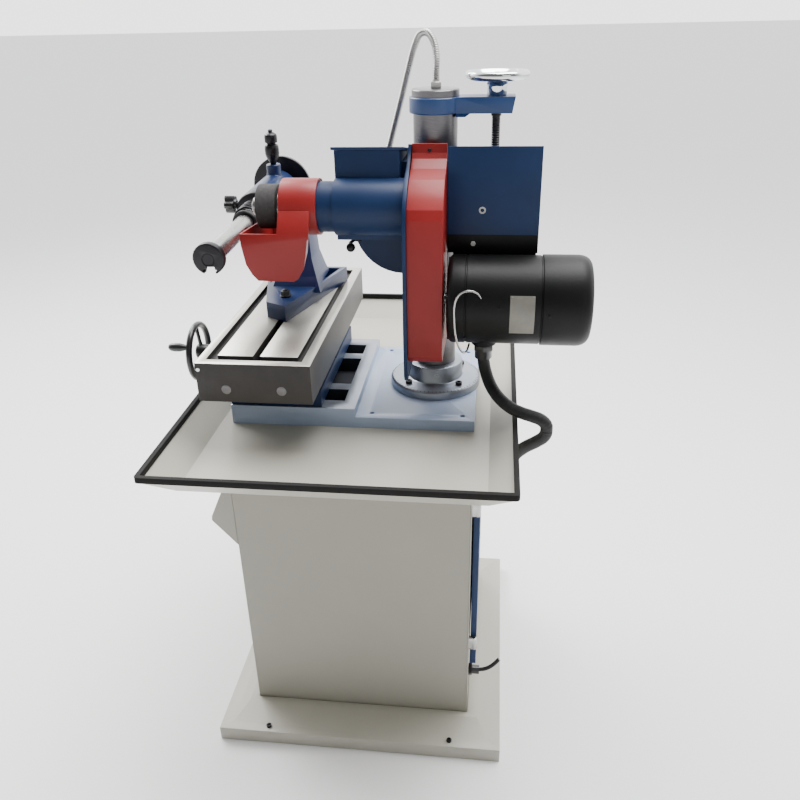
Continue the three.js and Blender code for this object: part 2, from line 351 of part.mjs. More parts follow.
// Wheel guard: a band round the wheel flange and a scoop below the wheel.
const scoopNear = [[-177, 1075], [-176, 1054], [-170.7, 1022], [-161.4, 1004], [-151.7, 993], [-89, 992], [-80.7, 997], [-69.3, 1015], [-64.6, 1039], [-58.7, 1075]];
const scoopFar = [[-160, 1075], [-160, 1016], [-149, 999], [-120, 993], [-101, 994.5], [-95, 1004], [-91.5, 1030], [-91, 1075]];
const between = (near, x1, far, x0) => Manifold.hull([...near.map(([y, z]) => [x1, y, z]), ...far.map(([y, z]) => [x0, y, z])]);
const hollow = (outline, y0, y1) => [[y0, 1090], ...inset(outline, 2.6).slice(1, -1), [y1, 1090]];
const scoop = cut(between(scoopNear, 175, scoopFar, 35), between(hollow(scoopNear, -174.4, -61.4), 172.4, hollow(scoopFar, -157.4, -93.6), 37.6));
const web = [[175, 1066], [175, 1075], [154.5, 1109], [150.5, 1109], [150.5, 1100], [171.8, 1068.4]];
add("wheel_guard", cut(join(scoop, prism("y", web, -112, -58), prism("y", web.map(([x, z]) => [2 * A.x - x, z]), -112, -92),
  turned("y", A.x, A.z, [[44, -112], [48, -112], [48, -48], [44, -48], [44, -50.3], [29, -50.3], [29, -53.3], [44, -53.3]], 48)),
  cyl("y", A.x, A.z, 44.6, -118.5, -55.5, 48)), RED);

// Belt guard: back plate and cover.
const guardFront = [[61, 850], [178, 850], [187, 860], [189, 900], [187, 960], [184, 1020], [180, 1075], [177, 1099], [171, 1116], [160, 1130], [146, 1143], [126, 1156], [94, 1168], [74, 1181], [68, 1190], [66, 1204.5], [61, 1204.5]];
const plateFront = [[61, 815], [184, 815], [192, 826], [194, 900], [191, 960], [188, 1020], [184, 1075], [181, 1099], [174, 1118], [163, 1133], [148, 1147], [128, 1160], [96, 1172], [76, 1185], [68, 1194], [65, 1203], [61, 1203]];
add("belt_guard_plate", cut(prism("y", plateFront, 101.5, 108), cyl("y", A.x, A.z, 22, 95, 110, 32)), BLUE);
add("belt_guard_cover", cut(prism("y", guardFront, GUARD_Y0, GUARD_Y1), prism("y", inset(guardFront, 1.4), GUARD_Y0 - 1, GUARD_Y1 - 2),
  cyl("y", MOTOR.x, MOTOR.z, 16, 160, 175, 28)), RED);

// Belt: outer and inner tangent outlines round the two pulleys.
function loop(r1, r2, n = 16) {
  const c1 = [A.x, A.z], c2 = [MOTOR.x, MOTOR.z], d = Math.hypot(c2[0] - c1[0], c2[1] - c1[1]);
  const dir = Math.atan2(c2[1] - c1[1], c2[0] - c1[0]), beta = Math.acos((r1 - r2) / d), out = [];
  for (let i = 0; i <= n; i++) {
    const a = dir + beta + ((2 * Math.PI - 2 * beta) * i) / n;
    out.push([c1[0] + r1 * Math.cos(a), c1[1] + r1 * Math.sin(a)]);
  }
  for (let i = 0; i <= n; i++) {
    const a = dir - beta + (2 * beta * i) / n;
    out.push([c2[0] + r2 * Math.cos(a), c2[1] + r2 * Math.sin(a)]);
  }
  return out;
}
add("drive_belt", prism("y", loop(PULLEY_S + 5.6, PULLEY_M + 5.6), 124, 146, [loop(PULLEY_S + 0.6, PULLEY_M + 0.6).reverse()]), RUBBER);
add("motor_pulley", join(turned("y", MOTOR.x, MOTOR.z, [[0, 117], [PULLEY_M + 3, 119], [PULLEY_M + 3, 121.5], [PULLEY_M, 122], [PULLEY_M, 148], [PULLEY_M + 3, 148.5], [PULLEY_M + 3, 151], [18, 151], [18, 158], [0, 158]], 36),
  cyl("y", MOTOR.x, MOTOR.z, 9.5, 150, 213, 24)), STEEL, METAL);

// ---------- motor ----------
const cowlSlots = [22, 36, 50].map((r) => cut(cyl("y", MOTOR.x, MOTOR.z, r + 3, 413, 425, 32), cyl("y", MOTOR.x, MOTOR.z, r - 3, 412, 426, 32),
  box(MOTOR.x - 4, MOTOR.x + 4, 410, 430, 860, 1040), box(MOTOR.x - 90, MOTOR.x + 90, 410, 430, MOTOR.z - 4, MOTOR.z + 4)));
add("motor_body", cut(join(turned("y", MOTOR.x, MOTOR.z, [[0, 175], [60, 175], [74, 179], [77, 184], [77, MOTOR.y1], [78.5, MOTOR.y1 + 1], [78.5, 398], [76, 410], [70, 417], [62, 420], [0, 420]], 44),
  box(30, 97.6, 181.5, 325.6, 1000, 1055.7), cyl("z", MOTOR.x, 240, 22, 868, 900, 28)),
  cyl("y", MOTOR.x, MOTOR.z, 9.8, 170, 216, 24), ...cowlSlots), BLACK);
add("conduit_gland_motor", cut(join(cyl("z", MOTOR.x, 240, 15.5, 841, 860, 28), prism("z", hex(MOTOR.x, 240, 19), 857, 867.7)), cyl("z", MOTOR.x, 240, 12, 830, 864, 24)), BLACK);
add("earth_wire", hose([[203.3, 234, 979], [209, 229, 988], [212, 219, 993.5], [212, 206, 992], [211, 195, 982], [210.5, 190.5, 965], [210, 190.5, 942], [208, 192.5, 915], [201, 198, 890], [190, 205, 875], [176, 211, 871], [166, 214, 877], [161, 215, 879]], 1.8, 26, 6), STEEL);
add("head_lock_lever", join(cyl("z", 70, 8, 8, 1037, 1049.7, 24), rod([70, 8, 1043.5], [110, 2, 1044], 3, 12), cyl("z", 110, 2, 3, 1038, 1045.5, 12), sphere(110, 2, 1035.5, 8)), BLACK);

// ---------- motor conduit: from the motor's gland over the tray rim and back to the cabinet ----------
const conduitUpper = [[130, 240, 846], [131, 241, 834], [137, 244.5, 818], [150, 252.5, 800], [167, 263, 788], [184, 277, 779], [198, 294, 772.5], [207, 311, 769], [214, 328, 767], [219.5, 343, 764], [222, 351.6, 758], [222.5, 354.8, 751.5], [222.5, 354.8, 745.9]];
const conduitLower = [[222.5, 354.8, 744.9], [222.5, 354.8, 739.5], [221.2, 350.5, 729.5], [217.5, 337, 716.5], [213, 320, 703], [208.5, 305, 686], [205, 295, 666], [202.5, 287, 645], [201, 279, 625], [200.2, 269, 608], [200, 257, 599.3], [200, 243, 598]];
add("motor_conduit_upper", hose(conduitUpper, 11.2, 28, 10), RUBBER);
add("motor_conduit_lower", hose(conduitLower, 11.2, 26, 10), RUBBER);

export default root;
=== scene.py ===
import json
import math

import bmesh
import bpy
import numpy as np
from mathutils import Matrix, Vector, noise


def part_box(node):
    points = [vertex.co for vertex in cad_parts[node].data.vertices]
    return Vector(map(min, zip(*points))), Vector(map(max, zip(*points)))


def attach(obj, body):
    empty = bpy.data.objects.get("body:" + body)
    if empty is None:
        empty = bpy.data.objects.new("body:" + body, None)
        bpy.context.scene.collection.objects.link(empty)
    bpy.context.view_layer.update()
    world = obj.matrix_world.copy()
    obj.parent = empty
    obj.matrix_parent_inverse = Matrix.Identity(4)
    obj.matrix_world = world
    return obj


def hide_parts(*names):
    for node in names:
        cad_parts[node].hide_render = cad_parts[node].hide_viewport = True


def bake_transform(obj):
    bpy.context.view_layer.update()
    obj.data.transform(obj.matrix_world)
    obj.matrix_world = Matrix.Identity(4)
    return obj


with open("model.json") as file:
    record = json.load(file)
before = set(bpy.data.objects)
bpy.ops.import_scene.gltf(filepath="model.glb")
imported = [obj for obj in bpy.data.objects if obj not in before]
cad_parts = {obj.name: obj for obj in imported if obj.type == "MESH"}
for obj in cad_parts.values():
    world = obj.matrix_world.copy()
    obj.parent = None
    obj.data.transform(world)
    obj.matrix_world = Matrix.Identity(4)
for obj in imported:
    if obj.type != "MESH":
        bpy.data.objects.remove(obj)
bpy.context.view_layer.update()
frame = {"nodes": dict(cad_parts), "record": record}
BODY = {n: b for b, ns in frame["record"]["behaviour"]["bodies"].items() for n in ns}
SLOT = {s["node"]: s["material_slot"] for s in frame["record"]["subparts"]}
NODES = frame["nodes"]
done = set()

# ------------------------------------------------------------------ camera
yaw, pitch, roll = 0.1257, 0.4693, -0.0234
d = Vector((-math.cos(pitch) * math.cos(yaw), -math.cos(pitch) * math.sin(yaw), -math.sin(pitch)))
r = d.cross(Vector((0, 0, 1))).normalized()
u = r.cross(d)
right = math.cos(roll) * r + math.sin(roll) * u
up = -math.sin(roll) * r + math.cos(roll) * u
cam_data = bpy.data.cameras.new("camera")
cam_data.sensor_width = 36
cam_data.lens = 776.857 / 800 * 36
cam = bpy.data.objects.new("camera", cam_data)
cam.matrix_world = Matrix(((right.x, up.x, -d.x, 1.434173), (right.y, up.y, -d.y, 0.250412), (right.z, up.z, -d.z, 1.413627), (0, 0, 0, 1)))
bpy.context.scene.collection.objects.link(cam)
bpy.context.scene.camera = cam


# ------------------------------------------------------------------ materials
def srgb(c):
    return tuple((v / 255 / 12.92) if v / 255 <= 0.04045 else ((v / 255 + 0.055) / 1.055) ** 2.4 for v in c) + (1,)


def material(name, rgb, rough=0.45, metal=0.0, var=0.10, var_scale=9.0, dark=None, dirt=0.0, bump=0.05, bump_scale=260.0,
             coat=0.0, stretch=None, grain=0.0, band=None, spec=0.5):
    """Layered surface: broad tone variation, fine texture as bump and roughness, dirt in patches, turning or grinding marks."""
    m = bpy.data.materials.new(name)
    m.use_nodes = True
    nt = m.node_tree
    N, L = nt.nodes, nt.links
    b = N["Principled BSDF"]
    b.inputs["Metallic"].default_value = metal
    b.inputs["Coat Weight"].default_value = coat
    b.inputs["Coat Roughness"].default_value = 0.12
    b.inputs["Specular IOR Level"].default_value = spec
    co = N.new("ShaderNodeTexCoord")
    broad = N.new("ShaderNodeTexNoise")
    broad.inputs["Scale"].default_value = var_scale
    broad.inputs["Detail"].default_value = 5
    L.new(co.outputs["Object"], broad.inputs["Vector"])
    ramp = N.new("ShaderNodeValToRGB")
    base = srgb(rgb)
    lo = tuple(v * (1 - var) for v in base[:3]) + (1,)
    hi = tuple(min(1, v * (1 + var)) for v in base[:3]) + (1,)
    ramp.color_ramp.elements[0].position, ramp.color_ramp.elements[0].color = 0.30, lo
    ramp.color_ramp.elements[1].position, ramp.color_ramp.elements[1].color = 0.70, hi
    L.new(broad.outputs["Fac"], ramp.inputs["Fac"])
    colour = ramp.outputs["Color"]
    fine = N.new("ShaderNodeTexNoise")
    fine.inputs["Scale"].default_value = bump_scale
    fine.inputs["Detail"].default_value = 3
    source = co.outputs["Object"]
    if stretch:
        mapping = N.new("ShaderNodeMapping")
        mapping.inputs["Scale"].default_value = stretch
        L.new(co.outputs["Object"], mapping.inputs["Vector"])
        source = mapping.outputs["Vector"]
    L.new(source, fine.inputs["Vector"])
    if grain:
        mix = N.new("ShaderNodeMix")
        mix.data_type, mix.blend_type = "RGBA", "MULTIPLY"
        mix.inputs["Factor"].default_value = grain
        L.new(colour, mix.inputs["A"])
        gr = N.new("ShaderNodeValToRGB")
        gr.color_ramp.elements[0].position, gr.color_ramp.elements[0].color = 0.35, (0.35, 0.35, 0.35, 1)
        gr.color_ramp.elements[1].position, gr.color_ramp.elements[1].color = 0.62, (1, 1, 1, 1)
        L.new(fine.outputs["Fac"], gr.inputs["Fac"])
        L.new(gr.outputs["Color"], mix.inputs["B"])
        colour = mix.outputs["Result"]
    if dirt:
        spots = N.new("ShaderNodeTexNoise")
        spots.inputs["Scale"].default_value = var_scale * 4.3
        spots.inputs["Detail"].default_value = 8
        spots.inputs["Roughness"].default_value = 0.72
        L.new(co.outputs["Object"], spots.inputs["Vector"])
        sr = N.new("ShaderNodeValToRGB")
        sr.color_ramp.elements[0].position, sr.color_ramp.elements[0].color = 0.60, (0, 0, 0, 1)
        sr.color_ramp.elements[1].position, sr.color_ramp.elements[1].color = 0.80, (dirt, dirt, dirt, 1)
        L.new(spots.outputs["Fac"], sr.inputs["Fac"])
        mix = N.new("ShaderNodeMix")
        mix.data_type = "RGBA"
        L.new(sr.outputs["Color"], mix.inputs["Factor"])
        L.new(colour, mix.inputs["A"])
        mix.inputs["B"].default_value = srgb(dark or (70, 62, 50))
        colour = mix.outputs["Result"]
    L.new(colour, b.inputs["Base Color"])
    rr = N.new("ShaderNodeMapRange")
    rr.inputs["To Min"].default_value = max(0.03, rough - 0.09)
    rr.inputs["To Max"].default_value = min(1, rough + 0.11)
    L.new(broad.outputs["Fac"], rr.inputs["Value"])
    L.new(rr.outputs["Result"], b.inputs["Roughness"])
    bu = N.new("ShaderNodeBump")
    bu.inputs["Strength"].default_value = bump
    bu.inputs["Distance"].default_value = 0.001
    height = fine.outputs["Fac"]
    if band:
        axis, pitch_m, depth = band
        wave = N.new("ShaderNodeTexWave")
        wave.wave_type = "BANDS"
        wave.bands_direction = axis
        wave.inputs["Scale"].default_value = 1 / pitch_m * math.pi / 10 / 2 * 2
        wave.inputs["Distortion"].default_value = 0.0
        L.new(co.outputs["Object"], wave.inputs["Vector"])
        height = wave.outputs["Fac"]
        bu.inputs["Strength"].default_value = 1.0
        bu.inputs["Distance"].default_value = depth
    L.new(height, bu.inputs["Height"])
    L.new(bu.outputs["Normal"], b.inputs["Normal"])
    return m


MAT = {
    "cream_sheet": material("cream_sheet", (172, 169, 157), 0.42, var=0.035, var_scale=4, dirt=0.10, dark=(128, 121, 102), bump=0.05, bump_scale=420, coat=0.1),
    # Same cream paint as cream_sheet, darkened: painted shade for the backlit near faces of the cabinet walls and
    # console.
    "cream_painted_shade": material("cream_painted_shade", (150, 147, 136), 0.45, var=0.035, var_scale=4, dirt=0.10, dark=(118, 112, 96), bump=0.05, bump_scale=420, coat=0.05, spec=0.4),
    "blue_paint": material("blue_paint", (19, 41, 77), 0.46, var=0.14, var_scale=10, dirt=0.16, dark=(12, 18, 30), bump=0.10, bump_scale=300, coat=0.0, spec=0.25),
    "blue_gloss": material("blue_gloss", (13, 32, 70), 0.34, var=0.16, var_scale=14, dirt=0.14, dark=(10, 18, 36), bump=0.12, bump_scale=220, coat=0.1, spec=0.35),
    "arm_blue": material("arm_blue", (24, 62, 116), 0.36, var=0.14, var_scale=14, dirt=0.12, dark=(14, 26, 48), bump=0.12, bump_scale=220, coat=0.1),
    "bed_blue": material("bed_blue", (150, 166, 192), 0.34, var=0.10, var_scale=12, dirt=0.25, dark=(84, 96, 120), bump=0.12, bump_scale=200, coat=0.3),
    "red_paint": material("red_paint", (136, 29, 29), 0.44, var=0.10, var_scale=9, dirt=0.14, dark=(92, 22, 24), bump=0.08, bump_scale=320, coat=0.05, spec=0.3),
    "black_rubber": material("black_rubber", (20, 19, 18), 0.72, var=0.16, var_scale=22, dirt=0.2, dark=(46, 43, 39), bump=0.28, bump_scale=600, spec=0.2),
    "cable_black": material("cable_black", (14, 14, 15), 0.55, var=0.14, var_scale=30, bump=0.12, bump_scale=700),
    "black_plastic": material("black_plastic", (22, 22, 24), 0.3, var=0.12, var_scale=26, bump=0.06, bump_scale=500, coat=0.2),
    "black_enamel": material("black_enamel", (9, 9, 10), 0.46, var=0.14, var_scale=12, dirt=0.12, dark=(24, 22, 20), bump=0.14, bump_scale=260, coat=0.0, spec=0.2),
    "blackened_steel": material("blackened_steel", (38, 37, 40), 0.32, metal=0.65, var=0.2, var_scale=30, dirt=0.15, dark=(84, 76, 66), bump=0.1, bump_scale=600),
    "machined_steel": material("machined_steel", (176, 176, 174), 0.26, metal=0.95, var=0.08, var_scale=26, bump=0.12, bump_scale=420, stretch=(1, 10, 1), grain=0.15),
    "column_steel": material("column_steel", (118, 116, 118), 0.30, metal=0.85, var=0.14, var_scale=7, bump=0.10, bump_scale=90, stretch=(1, 1, 26), grain=0.35),
    "table_iron": material("table_iron", (196, 194, 184), 0.34, metal=0.7, var=0.06, var_scale=12, bump=0.05, bump_scale=180, stretch=(0.25, 14, 1), grain=0.25, dirt=0.25, dark=(150, 128, 84)),
    "table_side": material("table_side", (92, 90, 88), 0.5, metal=0.55, var=0.10, var_scale=14, bump=0.22, bump_scale=240, dirt=0.35, dark=(72, 66, 60)),
    "table_end": material("table_end", (60, 57, 56), 0.55, metal=0.4, var=0.16, var_scale=18, bump=0.25, bump_scale=240, dirt=0.25, dark=(92, 84, 74)),
    # Near-black colour for the table's channel and T-slot faces: painted shade of the grooves, with real grime
    # patches on top.
    "table_groove_painted_shade": material("table_groove_painted_shade", (42, 40, 38), 0.6, metal=0.3, var=0.2, var_scale=40, bump=0.3, bump_scale=260, dirt=0.4, dark=(108, 92, 66)),
    "chrome_wheel": material("chrome_wheel", (214, 216, 218), 0.10, metal=1.0, var=0.04, var_scale=20, bump=0.02, bump_scale=300),
    "flex_steel": material("flex_steel", (166, 165, 163), 0.24, metal=0.95, var=0.08, var_scale=40, bump=0.05, bump_scale=500),
    "grit": material("grit", (62, 60, 60), 0.92, var=0.25, var_scale=160, bump=0.9, bump_scale=1500, grain=0.4),
    # Near-black colour for the bed's pocket interiors: painted shade of the recesses, with real grime patches on top.
    "pocket_painted_shade": material("pocket_painted_shade", (26, 30, 38), 0.6, var=0.2, var_scale=20, dirt=0.3, dark=(50, 44, 36), bump=0.2, bump_scale=200),
    "ring_iron": material("ring_iron", (150, 156, 166), 0.30, metal=0.75, var=0.08, var_scale=16, bump=0.08, bump_scale=300, dirt=0.15, dark=(90, 88, 84)),
    "button_green": material("button_green", (30, 122, 70), 0.25, var=0.05, bump=0.03, bump_scale=500, coat=0.4),
    "button_red": material("button_red", (178, 28, 30), 0.25, var=0.05, bump=0.03, bump_scale=500, coat=0.4),
    "thread": material("thread", (98, 96, 94), 0.34, metal=0.8, var=0.12, var_scale=40, bump=0.2, band=("Z", 0.004, 0.0012)),
    "thread_y": material("thread_y", (150, 148, 145), 0.3, metal=0.9, var=0.12, var_scale=40, bump=0.2, band=("Y", 0.005, 0.0012)),
    "plate": material("plate", (124, 122, 114), 0.45, metal=0.3, var=0.08, var_scale=60, bump=0.1, bump_scale=500, stretch=(1, 1, 8), grain=0.12),
    "zinc": material("zinc", (170, 172, 168), 0.36, var=0.08, var_scale=80, bump=0.05, bump_scale=500),
    "mark": material("mark", (222, 222, 214), 0.5, var=0.03, bump=0.02),
    "mark_dark": material("mark_dark", (24, 24, 24), 0.5, var=0.03, bump=0.02),
    "copper": material("copper", (206, 150, 96), 0.3, metal=0.9, var=0.08, var_scale=80, bump=0.05),
}
lens = bpy.data.materials.new("lamp_lens")
lens.use_nodes = True
lens.node_tree.nodes["Principled BSDF"].inputs["Base Color"].default_value = (0.75, 0.78, 0.80, 1)
lens.node_tree.nodes["Principled BSDF"].inputs["Roughness"].default_value = 0.12
lens.node_tree.nodes["Principled BSDF"].inputs["Coat Weight"].default_value = 0.6
MAT["lamp_lens"] = lens


# ------------------------------------------------------------------ mesh helpers, in millimetres
def finish_mesh(name, bm, mats, body, smooth=38):
    for f in bm.faces:
        f.smooth = True
    lim = math.radians(smooth)
    for e in bm.edges:
        if len(e.link_faces) == 2 and e.calc_face_angle(0) > lim:
            e.smooth = False
    me = bpy.data.meshes.new(name)
    bm.to_mesh(me)
    bm.free()
    for m in mats:
        me.materials.append(MAT[m])
    ob = bpy.data.objects.new(name, me)
    bpy.context.scene.collection.objects.link(ob)
    if body:
        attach(ob, body)
    return ob


def take(ob, node):
    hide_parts(node)
    done.add(node)
    return ob


def refine(node, mat=None, bevel=1.0, seg=2, rule=None, extra=(), angle=32, smooth=38, split=None):
    """A finer copy of a CAD solid: coplanar facets joined, edges rounded, finishes given face by face."""
    src = NODES[node]
    bm = bmesh.new()
    bm.from_mesh(src.data)
    bmesh.ops.remove_doubles(bm, verts=bm.verts, dist=2e-6)
    bmesh.ops.dissolve_limit(bm, angle_limit=math.radians(0.6), verts=bm.verts, edges=bm.edges)
    if bevel:
        sharp = [e for e in bm.edges if len(e.link_faces) == 2 and e.calc_face_angle(0) > math.radians(angle)]
        bmesh.ops.bevel(bm, geom=sharp, offset=bevel / 1000, offset_type="OFFSET", segments=seg, profile=0.5,
                        affect="EDGES", clamp_overlap=True, material=-1)
    if split:
        bmesh.ops.bisect_plane(bm, geom=list(bm.verts) + list(bm.edges) + list(bm.faces), dist=2e-5, plane_co=(0, 0, split / 1000), plane_no=(0, 0, 1))
    bmesh.ops.recalc_face_normals(bm, faces=bm.faces)
    lo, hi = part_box(node)
    for v in bm.verts:
        v.co = Vector((min(max(v.co.x, lo.x), hi.x), min(max(v.co.y, lo.y), hi.y), min(max(v.co.z, lo.z), hi.z)))
    if rule:
        for f in bm.faces:
            f.material_index = rule(f.calc_center_median() * 1000, f.normal)
    else:
        for f in bm.faces:
            f.material_index = 0
    ob = finish_mesh(node + "_look", bm, [mat or SLOT[node], *extra], BODY[node], smooth)
    return take(ob, node)


def place(axis, c, rad, h, a):
    cs, sn = rad * math.cos(a), rad * math.sin(a)
    if axis == "z":
        return Vector((c[0] + cs, c[1] + sn, h)) / 1000
    if axis == "y":
        return Vector((c[0] + sn, h, c[1] + cs)) / 1000
    return Vector((h, c[0] + cs, c[1] + sn)) / 1000


def lathe(name, axis, c, prof, mat, body, n=72, smooth=32, mats=None, pick=None):
    """Closed body of revolution. A profile that starts or ends off the axis is a ring and closes on itself."""
    bm = bmesh.new()
    ring_closed = prof[0][0] > 0 or prof[-1][0] > 0
    rows = []
    for rad, h in prof:
        if rad <= 1e-9:
            rows.append([bm.verts.new(place(axis, c, 0, h, 0))])
        else:
            rows.append([bm.verts.new(place(axis, c, rad, h, 2 * math.pi * k / n)) for k in range(n)])
    pairs = list(zip(rows, rows[1:])) + ([(rows[-1], rows[0])] if ring_closed else [])
    for i, (a, b) in enumerate(pairs):
        for k in range(n):
            m = (k + 1) % n
            q = [a[k % len(a)], a[m % len(a)], b[m % len(b)], b[k % len(b)]]
            uq = []
            for v in q:
                if v not in uq:
                    uq.append(v)
            if len(uq) >= 3:
                f = bm.faces.new(uq)
                f.material_index = pick(i) if pick else 0
    bmesh.ops.recalc_face_normals(bm, faces=bm.faces)
    return finish_mesh(name, bm, mats or [mat], body, smooth)


def rounded(prof, rad=1.0):
    """Profile with its corners cut by short chamfers."""
    out = []
    for i, p in enumerate(prof):
        if p[0] <= 1e-9 or i in (0, len(prof) - 1):
            out.append(p)
            continue
        a, b = prof[i - 1], prof[i + 1]
        for q in (a, b):
            L = math.hypot(q[0] - p[0], q[1] - p[1])
            t = min(rad, L * 0.4) / L if L else 0
            out.append((p[0] + (q[0] - p[0]) * t, p[1] + (q[1] - p[1]) * t))
    return out


def boxes(name, items, mat, body, bevel=0.0, seg=2):
    """One mesh of several blocks [x0, x1, y0, y1, z0, z1], with rounded edges."""
    bm = bmesh.new()
    for x0, x1, y0, y1, z0, z1 in items:
        ret = bmesh.ops.create_cube(bm, size=1)
        for v in ret["verts"]:
            v.co = Vector(((x0 + x1) / 2 + v.co.x * (x1 - x0), (y0 + y1) / 2 + v.co.y * (y1 - y0), (z0 + z1) / 2 + v.co.z * (z1 - z0))) / 1000
    if bevel:
        bmesh.ops.bevel(bm, geom=list(bm.edges), offset=bevel / 1000, segments=seg, profile=0.5, affect="EDGES", clamp_overlap=True)
    return finish_mesh(name, bm, [mat], body)


def catmull(points, steps):
    """Centripetal Catmull-Rom line through points, evenly spaced, in millimetres."""
    P = [np.array(p, float) for p in points]
    P = [2 * P[0] - P[1], *P, 2 * P[-1] - P[-2]]
    out = []
    for i in range(1, len(P) - 2):
        p0, p1, p2, p3 = P[i - 1:i + 3]
        t = [0.0]
        for a, b in ((p0, p1), (p1, p2), (p2, p3)):
            t.append(t[-1] + max(np.linalg.norm(b - a), 1e-6) ** 0.5)
        for s in np.linspace(t[1], t[2], 40, endpoint=False):
            A1 = (t[1] - s) / (t[1] - t[0]) * p0 + (s - t[0]) / (t[1] - t[0]) * p1
            A2 = (t[2] - s) / (t[2] - t[1]) * p1 + (s - t[1]) / (t[2] - t[1]) * p2
            A3 = (t[3] - s) / (t[3] - t[2]) * p2 + (s - t[2]) / (t[3] - t[2]) * p3
            B1 = (t[2] - s) / (t[2] - t[0]) * A1 + (s - t[0]) / (t[2] - t[0]) * A2
            B2 = (t[3] - s) / (t[3] - t[1]) * A2 + (s - t[1]) / (t[3] - t[1]) * A3
            out.append((t[2] - s) / (t[2] - t[1]) * B1 + (s - t[1]) / (t[2] - t[1]) * B2)
    out.append(P[-2])
    out = np.array(out)
    seg = np.linalg.norm(np.diff(out, axis=0), axis=1)
    acc = np.concatenate([[0], np.cumsum(seg)])
    at = np.linspace(0, acc[-1], steps + 1)
    return np.stack([np.interp(at, acc, out[:, k]) for k in range(3)], 1), float(acc[-1])


def tube(name, path, radius, mat, body, n=20, smooth=50):
    """Closed tube along a line of points in millimetres. radius is a number, or one for each point."""
    path = np.array(path, float)
    rad = np.full(len(path), radius, float) if np.isscalar(radius) else np.array(radius, float)
    tan = np.gradient(path, axis=0)
    tan /= np.linalg.norm(tan, axis=1)[:, None]
    ref = np.array([0.0, 0, 1]) if abs(tan[0][2]) < 0.9 else np.array([1.0, 0, 0])
    bm = bmesh.new()
    rows = []
    nrm = np.cross(tan[0], ref)
    for p, t, rr in zip(path, tan, rad):
        nrm = nrm - t * (nrm @ t)
        nrm /= np.linalg.norm(nrm)
        bi = np.cross(t, nrm)
        rows.append([bm.verts.new(Vector(p + rr * (math.cos(a) * nrm + math.sin(a) * bi)) / 1000) for a in (2 * math.pi * k / n for k in range(n))])
    for a, b in zip(rows, rows[1:]):
        for k in range(n):
            bm.faces.new((a[k], a[(k + 1) % n], b[(k + 1) % n], b[k]))
    bm.faces.new(rows[0][::-1])
    bm.faces.new(rows[-1])
    bmesh.ops.recalc_face_normals(bm, faces=bm.faces)
    return finish_mesh(name, bm, [mat], body, smooth)


def ribbed(path_points, r_low, r_high, rib, per_rib=6):
    """Line and radii for a corrugated tube: rib is the spacing of its ribs."""
    _, total = catmull(path_points, 10)
    ribs = max(3, round(total / rib))
    line, total = catmull(path_points, ribs * per_rib)
    k = np.arange(ribs * per_rib + 1) / per_rib * 2 * math.pi
    w = 0.5 - 0.5 * np.cos(k)
    return line, r_low + (r_high - r_low) * np.clip(w * 1.3, 0, 1), total


def merge(obs, name):
    """Several objects on one body as one piece."""
    base = obs[0]
    bm = bmesh.new()
    mats = []
    for o in obs:
        off = {}
        for i, m in enumerate(o.data.materials):
            if m not in mats:
                mats.append(m)
            off[i] = mats.index(m)
        n0 = len(bm.faces)
        bm.from_mesh(o.data)
        bm.faces.ensure_lookup_table()
        for f in bm.faces[n0:]:
            f.material_index = off.get(f.material_index, 0)
    bm.to_mesh(base.data)
    bm.free()
    base.data.materials.clear()
    for m in mats:
        base.data.materials.append(m)
    for o in obs[1:]:
        bpy.data.objects.remove(o)
    base.name = name
    return base


def socket_screw(name, axis, c, h0, h1, rad, body, mat="blackened_steel"):
    """Cap screw head with a hexagon socket, its top at h1."""
    s = 1 if h1 > h0 else -1
    prof = [(0, h0), (rad, h0), (rad, h1 - s * 0.5), (rad - 0.5, h1), (rad * 0.55, h1), (rad * 0.5, h1 - s * rad * 0.5), (0, h1 - s * rad * 0.5)]
    return lathe(name, axis, c, prof, mat, body, n=24)


# ------------------------------------------------------------------ cords first
mains, mains_len = catmull([[205, 232, 145], [205, 243, 145], [205, 254, 145.5], [204.2, 266, 148.5], [202.5, 277, 155], [200, 286, 163], [197.5, 293, 171]], 200)
keep = mains[:, 1] >= 250
mains = mains[keep]
cable = tube("mains_lead", mains, 4.1, "cable_black", "machine_base", 20)
take(cable, "mains_cable")
tip, tdir = mains[-1], (mains[-1] - mains[-6]) / np.linalg.norm(mains[-1] - mains[-6])
side = np.cross(tdir, [1, 0, 0]); side /= np.linalg.norm(side)
cores = [tube("core_%d" % i, [tip - tdir * 0.9 + side * s, tip - tdir * 0.4 + side * s, tip + tdir * 0.0 + side * s], 1.5, "copper", "machine_base", 12) for i, s in enumerate((-1.8, 1.8))]

UPPER = [[130, 240, 846], [131, 241, 834], [137, 244.5, 818], [150, 252.5, 800], [167, 263, 788], [184, 277, 779], [198, 294, 772.5], [207, 311, 769], [214, 328, 767], [219.5, 343, 764], [222, 351.6, 758], [222.5, 354.8, 751.5], [222.5, 354.8, 745.9]]
LOWER = [[222.5, 354.8, 744.9], [222.5, 354.8, 739.5], [221.2, 350.5, 729.5], [217.5, 337, 716.5], [213, 320, 703], [208.5, 305, 686], [205, 295, 666], [202.5, 287, 645], [201, 279, 625], [200.2, 269, 608], [200, 257, 599.3], [200, 243, 598]]
for name, pts, node, a, b, at in (("conduit_upper", UPPER, "motor_conduit_upper", "wheelhead", "column", (UPPER[0], UPPER[6])),
                                  ("conduit_lower", LOWER[::-1], "motor_conduit_lower", "machine_base", "column", (LOWER[-1], LOWER[0]))):
    line, radii, total = ribbed(pts, 10.85, 11.15, 4.2)
    ob = tube(name, line, radii, "cable_black", None, 24)
    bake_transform(ob)
    take(ob, node)

